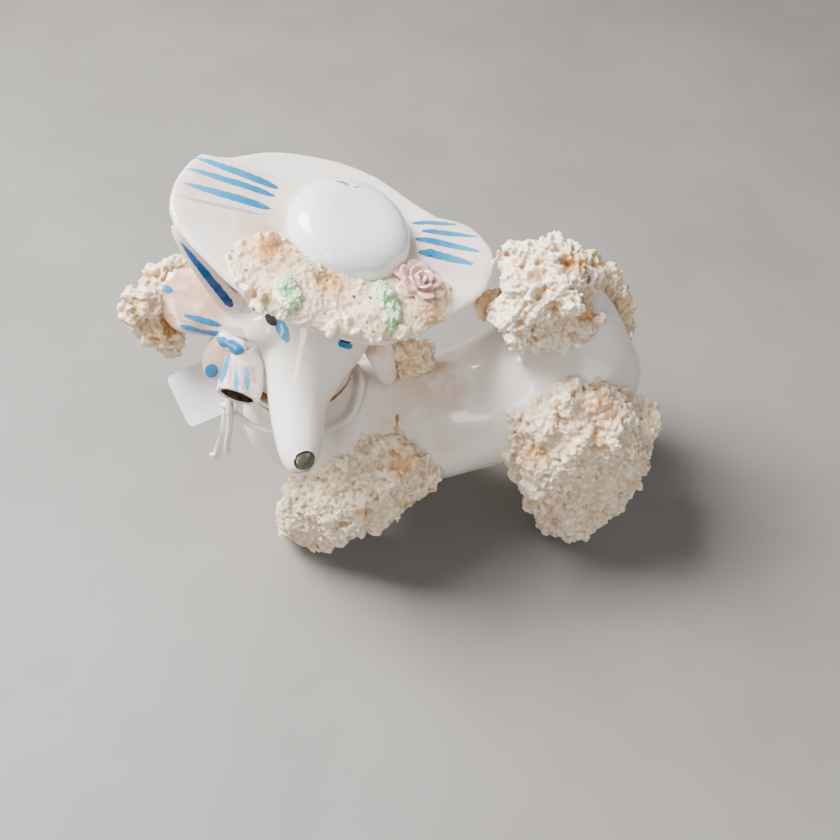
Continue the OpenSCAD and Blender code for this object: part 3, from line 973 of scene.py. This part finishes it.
def make_rose():
    rng = np.random.default_rng(8)
    vertices = []
    faces = []
    for ring, (count, radius, length, width, cup, flare, lean) in enumerate(PETAL_RINGS):
        for k in range(count):
            turn = 2 * math.pi * (k + 0.37 * ring) / count + rng.uniform(-0.15, 0.15)
            move = (
                HAT @ Matrix.Translation(Vector(ROSE_AT) * MM)
                @ Matrix.Rotation(turn, 4, "Z")
                @ Matrix.Translation(Vector((0, radius, 0)) * MM)
                @ Matrix.Rotation(-math.radians(lean + rng.uniform(-6, 6)), 4, "X")
            )
            v, f = petal_sheet(length, width, cup, flare)
            faces += [tuple(i + len(vertices) for i in face) for face in f]
            vertices += [move @ (p * MM) for p in v]
    rose = new_piece("rose_petals", vertices, faces)
    thick = rose.modifiers.new("thick", "SOLIDIFY")
    thick.thickness = 0.55 * MM
    thick.offset = 0
    round_off = rose.modifiers.new("round", "SUBSURF")
    round_off.levels = 1
    round_off.render_levels = 1
    bake(rose)
    fuse(rose, 0.2, 3)
    store_relief(rose, 12)
    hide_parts("rose")
    finish = Finish("rose_glaze")
    relief = finish.stored("relief")
    # Darker pink in the recesses between petals is painted shade, and paler pink on their raised parts is a
    # painted highlight.
    colour = finish.mix(finish.fit(relief, -0.3, 0.25), linear("b07c72"), linear("e0b8ae"))
    colour = finish.mix(finish.fit(finish.noise(3, 3), 0.4, 0.7, 0.0, 0.6), colour, linear("ead0c6"))
    finish.colour(colour)
    finish.set(roughness=0.24, coat_weight=0.4, coat_roughness=0.08)
    finish.normal(finish.bump(finish.noise(1.2, 3), 0.08, 0.5))
    dress(rose, finish.material)


# ===== Ears, bow and ribbon =====
def make_ears():
    right = glazed_skin("right_ear_flap", ["right_ear"], voxel=0.32, rounds=6)
    ripple(right, 6, 0.5, 4)
    paint(right, "blue", [
        (at(-64.6, 1.6, 83.4), at(-61.4, 0.6, 82.2), 1.7, 0.6, 0.9, 1.0),
        (at(-60.0, -2.4, 78.4), at(-52.8, -4.0, 76.0), 1.5, 0.6, 0.7, 1.0),
        (at(-61.4, -3.6, 76.9), at(-57.2, -4.4, 75.6), 1.1, 0.6, 0.6, 0.9),
        (at(-57.6, -4.4, 75.6), at(-52.4, -5.2, 74.6), 1.2, 0.6, 0.9, 1.0),
    ], OUTWARD)
    left = glazed_skin("left_ear_flap", ["left_ear"], voxel=0.32, rounds=6)
    material = porcelain("ear_glaze", "edd3c8", "e0b9a6", paints=[("blue", "1c98cc", "0070a8")],
                         stains_and_shade=[
                             (at(-54, 1, 81), 7, "c98450"),
                             (at(-60, 2, 82), 6, "cf9060"),
                             (at(-64, -2, 79), 6, "bb7038"),
                             (at(-58, -5, 76), 4, "c98450"),
                             (at(-45, -5, 77), 9, "f1ece6"),
                             (at(-44, -3, 79), 8, "f1ece6"),
                         ])
    dress(right, material)
    # The brown patch at the ear's root is painted shade.
    material = porcelain("left_ear_glaze", "efe3da", "e2cdbd", stains_and_shade=[(at(-23, -1, 63), 7, "b98a60")])
    dress(left, material)


LOOP = [
    # x, y, z, half width, half height
    (-49.4, -7.6, 72.6, 2.2, 1.6),
    (-49.6, -8.8, 70.0, 3.9, 2.5),
    (-50.2, -10.3, 67.6, 4.4, 2.9),
    (-51.0, -12.0, 65.9, 4.5, 3.0),
    (-51.7, -13.3, 65.0, 4.3, 2.9),
]
LOOP_WALL = 0.9
LOOP_LIP = 0.28  # how far the mouth slants, as a share of its half height
HOLLOW_FROM_ROW = 6


def make_bell():
    """The bow's loop: a fluted bell with a real hollow and a slanting mouth; its inner wall is painted dark
    brown as shade.
    """
    sides = 96
    rows = 40
    share = np.linspace(0, len(LOOP) - 1, rows)
    line = smooth_line([Vector(s[:3]) for s in LOOP], 12)
    at_share = np.linspace(0, len(LOOP) - 1, len(line))
    middle = np.array([np.interp(share, at_share, [p[k] for p in line]) for k in range(3)]).T
    wide = np.interp(share, range(len(LOOP)), [s[3] for s in LOOP])
    high = np.interp(share, range(len(LOOP)), [s[4] for s in LOOP])
    angle = np.linspace(0, 2 * math.pi, sides, endpoint=False)
    rings = []
    for wall, order in ((0.0, range(rows)), (LOOP_WALL, range(rows - 1, HOLLOW_FROM_ROW, -1))):
        for i in order:
            ahead = middle[min(i + 1, rows - 1)] - middle[max(i - 1, 0)]
            ahead /= np.linalg.norm(ahead)
            across = np.cross(OUTWARD, ahead)
            across /= np.linalg.norm(across)
            top = np.cross(ahead, across)
            open_share = i / (rows - 1)
            flute = 1 + 0.05 * open_share * np.cos(9 * angle + 0.6)
            local = (np.outer(np.cos(angle) * flute * (wide[i] - wall), across)
                     + np.outer(np.sin(angle) * flute * (high[i] - wall), top))
            lip = -np.sin(angle) * high[i] * LOOP_LIP * open_share ** 3
            rings.append(middle[i] + local + np.outer(lip, ahead))
        if wall == 0.0:
            rim = middle[-1] + local * 0.92 + np.outer(lip + 0.3, ahead)
            rings.append(rim)
    vertices = [at(*p) for ring in rings for p in ring]
    faces = [
        (i * sides + k, i * sides + (k + 1) % sides, (i + 1) * sides + (k + 1) % sides, (i + 1) * sides + k)
        for i in range(len(rings) - 1)
        for k in range(sides)
    ]
    faces.append(tuple(reversed(range(sides))))
    faces.append(tuple((len(rings) - 1) * sides + k for k in range(sides)))
    bell = new_piece("bow_loop_glaze", vertices, faces)
    work = bmesh.new()
    work.from_mesh(bell.data)
    bmesh.ops.recalc_face_normals(work, faces=work.faces)
    work.to_mesh(bell.data)
    work.free()
    # The inner wall's rings get the hollow layer: painted shade, dark brown, inside the loop.
    ring_number = np.repeat(np.arange(len(rings)), sides)
    store(bell, "hollow", ring_number - rows - 1.5)
    store(bell, "hollow_strength", np.full(len(vertices), 0.95))
    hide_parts("bow_loop")
    return bell


def make_bow_knot():
    knot = glazed_skin("bow_knot_glaze", ["bow_knot"], voxel=0.2, rounds=3)
    paint(knot, "blue", [
        (at(-54.4, -6.2, 76.0), at(-52.0, -8.0, 74.0), 2.3, 0.5, 0.9, 1.0),
        (at(-51.8, -7.2, 74.8), at(-49.2, -9.6, 72.8), 2.6, 0.6, 1.0, 0.9),
    ], OUTWARD)
    material = porcelain("knot_glaze", "e9ecf0", "cfe0ee", paints=[("blue", "28a2d4", "007ab0")])
    dress(knot, material)


def make_bow_loop():
    loop = make_bell()
    paint(loop, "blue", [
        (at(-52.0, -8.0, 72.2), at(-54.5, -12.0, 68.0), 1.5, 0.6, 0.8, 1.0),
        (at(-50.9, -10.0, 71.4), at(-51.3, -14.5, 67.4), 1.2, 0.6, 0.4, 0.7),
        (at(-48.9, -10.6, 71.0), at(-49.2, -14.0, 67.2), 1.3, 0.6, 0.4, 0.7),
    ], OUTWARD)
    paint(loop, "pink", [
        (at(-51.6, -8.8, 72.0), at(-52.8, -13.2, 68.0), 1.0, 0.6, 0.5, 0.7),
        (at(-49.9, -10.2, 71.3), at(-50.2, -14.2, 67.4), 1.1, 0.6, 0.5, 0.8),
        (at(-47.9, -10.8, 71.0), at(-47.6, -13.4, 68.0), 1.0, 0.6, 0.4, 0.6),
    ], OUTWARD)
    material = porcelain("loop_glaze", "efe4e0", "e6d2cc",
                         paints=[
                             ("pink", "e0b4b4", "d08f98"),
                             ("blue", "52aedc", "1288c0"),
                             # The hollow layer is painted shade inside the loop.
                             ("hollow", "4a2c1c", "3a2014"),
                         ])
    dress(loop, material)


def make_ribbon_tail():
    tail = glazed_skin("ribbon_tail_glaze", ["ribbon_tail"], voxel=0.22, rounds=4)
    paint(tail, "blue", [
        (at(-57.4, -7.2, 68.2), at(-55.7, -8.2, 66.2), 3.3, 0.5, 1.0, 1.0),
    ], OUTWARD)
    material = porcelain("tail_glaze", "e8c8b8", "d6a489", paints=[("blue", "2296cc", "0070a8")])
    dress(tail, material)


RIBBON_AT = (-39.2, 0, 57.6)
RIBBON_LEAN = -8.0
GILT_OFF_MIDDLE = 1.9
GILT_HALF_WIDTH = 1.15


def make_neck_ribbon():
    """The ribbon round the neck, with a gilt line along each edge."""
    band = glazed_skin("neck_ribbon_glaze", ["neck_ribbon"], voxel=0.3, rounds=3)
    lean = math.radians(RIBBON_LEAN)
    axis = np.array((math.sin(lean), 0, math.cos(lean)))
    height = (places(band) - np.array(at(*RIBBON_AT))) @ axis / MM
    store(band, "gilt", GILT_HALF_WIDTH - np.abs(np.abs(height) - GILT_OFF_MIDDLE))
    store(band, "gilt_strength", np.full(len(height), 0.9))
    material = porcelain("ribbon_glaze", "eadcca", "d6bfa2", paints=[("gilt", "8c4c0a", "743c04")])
    dress(band, material)


# ===== Price card =====
TAG_AT = (-54.4, -3.85, 59.75)
TAG_LENGTH = 14.4
TAG_WIDTH = 12.0
TAG_MARGIN = 2.8
TAG_CORNER = 3.0
TAG_HOLE_R = 1.5
TAG_THICK = 0.42
TAG_WORN_CORNER = 1.4
TAG_LEAN = 45.0
TAG_TURN = 18.0
TAG_CURL = 0.45
TAG_WAVE = 0.12


def make_card():
    """A thin card with a punched hole, its far corners slightly rounded and its end curling up."""
    work = bmesh.new()
    near = TAG_MARGIN
    far = TAG_MARGIN - TAG_LENGTH
    half = TAG_WIDTH / 2
    soft = TAG_WORN_CORNER
    outline = []
    for cx, cy, first in ((far + soft, half - soft, 90), (far + soft, soft - half, 180)):
        for k in range(7):
            angle = math.radians(first + 15 * k)
            outline.append((cx + soft * math.cos(angle), cy + soft * math.sin(angle)))
    outline += [(near - TAG_CORNER, -half), (near, TAG_CORNER - half)]
    outline += [(near, half - TAG_CORNER), (near - TAG_CORNER, half)]
    hole = [
        (TAG_HOLE_R * math.cos(2 * math.pi * k / 40), TAG_HOLE_R * math.sin(2 * math.pi * k / 40))
        for k in range(40)
    ]
    rings = []
    for points in (outline, hole):
        corners = [work.verts.new((x, y, 0)) for x, y in points]
        rings += [work.edges.new((corners[i], corners[(i + 1) % len(corners)])) for i in range(len(corners))]
    bmesh.ops.triangle_fill(work, edges=rings, use_beauty=True)
    for x in np.arange(far + 0.5, near, 0.5):
        bmesh.ops.bisect_plane(work, geom=work.verts[:] + work.edges[:] + work.faces[:],
                               plane_co=(x, 0, 0), plane_no=(1, 0, 0))
    for vertex in work.verts:
        reach = max(-vertex.co.x - 3, 0) / 10
        vertex.co.z = TAG_CURL * reach * reach + TAG_WAVE * reach * math.sin(vertex.co.y * 0.5)
    mesh = bpy.data.meshes.new("card")
    work.to_mesh(mesh)
    work.free()
    card = bpy.data.objects.new("card", mesh)
    bpy.context.scene.collection.objects.link(card)
    mesh.transform(
        Matrix.Translation(at(*TAG_AT))
        @ Matrix.Rotation(math.radians(TAG_LEAN), 4, "X")
        @ Matrix.Rotation(math.radians(TAG_TURN), 4, "Z")
        @ Matrix.Scale(MM, 4)
    )
    thick = card.modifiers.new("thick", "SOLIDIFY")
    thick.thickness = TAG_THICK * MM
    thick.offset = 0
    bake(card)
    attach(card, "price_tag_card")
    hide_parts("price_tag")
    dress(card, card_stock())


make_body()
make_head()
make_fur()
make_brim()
make_crown()
make_tie()
make_flowers()
make_rose()
make_ears()
make_bow_knot()
make_bow_loop()
make_ribbon_tail()
make_neck_ribbon()
make_card()


# ===== Studio =====
def make_floor():
    size = 1.6
    floor = new_piece("floor", [(-size, -size, 0), (size, -size, 0), (size, size, 0), (-size, size, 0)],
                      [(0, 1, 2, 3)], body=None)
    finish = Finish("floor")
    finish.colour(finish.mix(finish.fit(finish.noise(60, 3), 0.3, 0.7), linear("7d7a77"), linear("75726f")))
    finish.set(roughness=0.65)
    floor.data.materials.append(finish.material)


def soft_light(name, place, target, size, power, tint=(1, 1, 1)):
    data = bpy.data.lights.new(name, "AREA")
    data.shape = "RECTANGLE"
    data.size = size[0]
    data.size_y = size[1]
    data.energy = power
    data.color = tint
    light = bpy.data.objects.new(name, data)
    bpy.context.scene.collection.objects.link(light)
    light.location = place
    light.rotation_euler = (Vector(target) - Vector(place)).to_track_quat("-Z", "Y").to_euler()


def make_studio():
    make_floor()
    middle = (0, 0, 0.05)
    soft_light("key", (-0.30, 0.12, 0.50), middle, (0.26, 0.34), 14.5, (1.0, 0.985, 0.96))
    soft_light("fill", (0.45, -0.35, 0.35), middle, (0.4, 0.3), 1.0, (0.95, 0.97, 1.0))
    soft_light("front", (-0.25, -0.5, 0.35), middle, (0.09, 0.36), 1.5)
    world = bpy.data.worlds.new("studio")
    world.use_nodes = True
    background = world.node_tree.nodes["Background"]
    background.inputs["Color"].default_value = (0.9, 0.9, 0.9, 1)
    background.inputs["Strength"].default_value = 0.26
    bpy.context.scene.world = world


make_studio()
